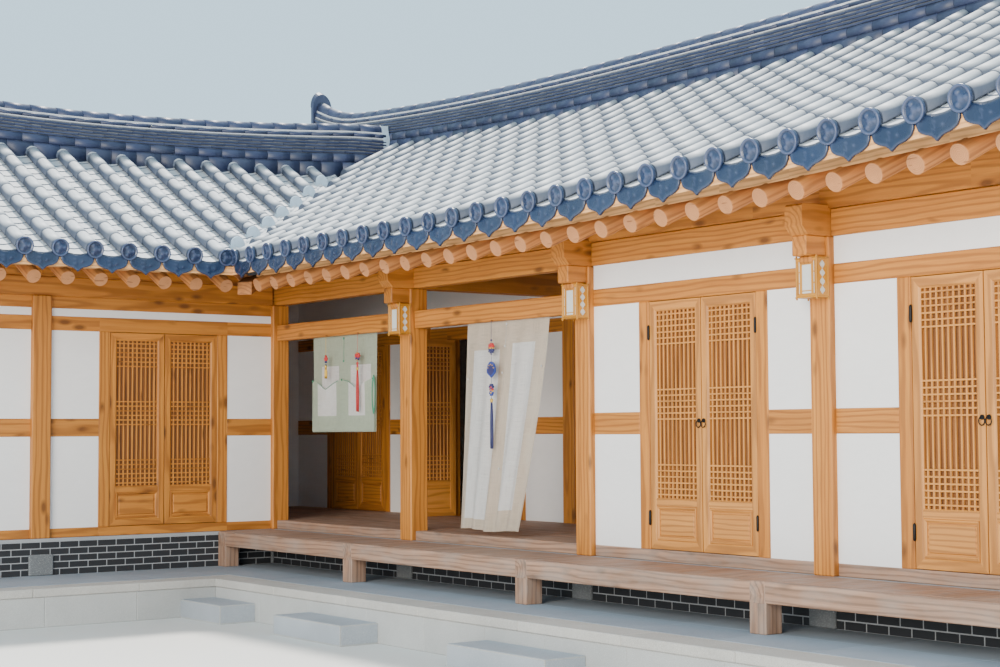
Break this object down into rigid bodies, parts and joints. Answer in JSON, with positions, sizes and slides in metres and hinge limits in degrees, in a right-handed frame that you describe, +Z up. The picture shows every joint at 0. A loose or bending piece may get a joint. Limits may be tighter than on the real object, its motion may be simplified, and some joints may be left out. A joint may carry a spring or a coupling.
{
  "type": "hanok house",
  "caption": "L-shaped timber house with tiled gable roofs, an open board-floored hall hung with curtains, paired lattice doors, a narrow porch and a stone platform.",
  "frame": {"origin": "middle of the outline box, on the ground the platform stands on", "axes": "+X along the main facade to the right as seen from the courtyard, +Y into the house, away from the courtyard, +Z up; the short wing runs towards -Y at the low-X end"},
  "size_m": [15.41, 12.01, 6.1264],
  "materials": {
    "granite": "matte",
    "brick": "matte",
    "old_timber": "matte",
    "timber": "satin",
    "plaster": "matte",
    "tile": "satin",
    "lantern_paper": "matte",
    "ramie": "matte",
    "green_ramie": "matte"
  },
  "bodies": {
    "house": {"stone_platform": "granite", "platform_coping": "granite", "brick_foundation": "brick", "hall_floor": "old_timber", "room_floor": "old_timber", "wing_floor": "old_timber", "porch_frame": "old_timber", "porch_deck": "old_timber", "front_column_1": "timber", "front_column_2": "timber", "front_column_3": "timber", "front_column_4": "timber", "front_column_5": "timber", "cross_beam_1": "timber", "cross_beam_2": "timber", "cross_beam_3": "timber", "cross_beam_4": "timber", "outer_wall_frame": "timber", "court_wall_frame": "timber", "hall_wall_frame": "timber", "bay_b_frame": "timber", "bay_a_frame": "timber", "open_lintel_1": "timber", "open_lintel_2": "timber", "front_purlin": "timber", "main_front_rafters": "timber", "main_back_rafters": "timber", "wing_court_rafters": "timber", "wing_outer_rafters": "timber", "main_left_gable_board": "timber", "main_right_gable_board": "timber", "wing_gable_board": "timber", "outer_wall_plaster": "plaster", "court_wall_plaster": "plaster", "hall_wall_plaster": "plaster", "bay_b_wall_left": "plaster", "bay_b_wall_right": "plaster", "bay_b_wall_over_door": "plaster", "bay_a_wall_left": "plaster", "bay_a_wall_right": "plaster", "bay_a_wall_over_door": "plaster", "main_front_roof": "tile", "main_back_roof": "tile", "wing_court_roof": "tile", "wing_outer_roof": "tile", "main_ridge": "tile", "wing_ridge": "tile", "lantern_1": "lantern_paper", "lantern_2": "lantern_paper", "lantern_3": "lantern_paper", "hall_curtain_sheer": "ramie", "hall_curtain_green": "green_ramie"},
    "bay_b_door_left": {"bay_b_door_left": "timber"},
    "bay_b_door_right": {"bay_b_door_right": "timber"},
    "bay_a_door_left": {"bay_a_door_left": "timber"},
    "bay_a_door_right": {"bay_a_door_right": "timber"},
    "hall_door_left": {"hall_door_left": "timber"}
  },
  "joints": [
    {"name": "bay_b_left_hinge", "type": "hinge", "parent": "house", "child": "bay_b_door_left", "pos_m": [2.63, -0.185, 1.8], "axis": [0, 0, -1], "range_deg": [0, 105]},
    {"name": "bay_b_right_hinge", "type": "hinge", "parent": "house", "child": "bay_b_door_right", "pos_m": [3.84, -0.185, 1.8], "axis": [0, 0, 1], "range_deg": [0, 105]},
    {"name": "bay_a_left_hinge", "type": "hinge", "parent": "house", "child": "bay_a_door_left", "pos_m": [5.33, -0.185, 1.8], "axis": [0, 0, -1], "range_deg": [0, 105]},
    {"name": "bay_a_right_hinge", "type": "hinge", "parent": "house", "child": "bay_a_door_right", "pos_m": [6.54, -0.185, 1.8], "axis": [0, 0, 1], "range_deg": [0, 105]},
    {"name": "hall_left_hinge", "type": "hinge", "parent": "house", "child": "hall_door_left", "pos_m": [-3.0025, 1.815, 1.8], "axis": [0, 0, -1], "range_deg": [-90, 15]}
  ]
}
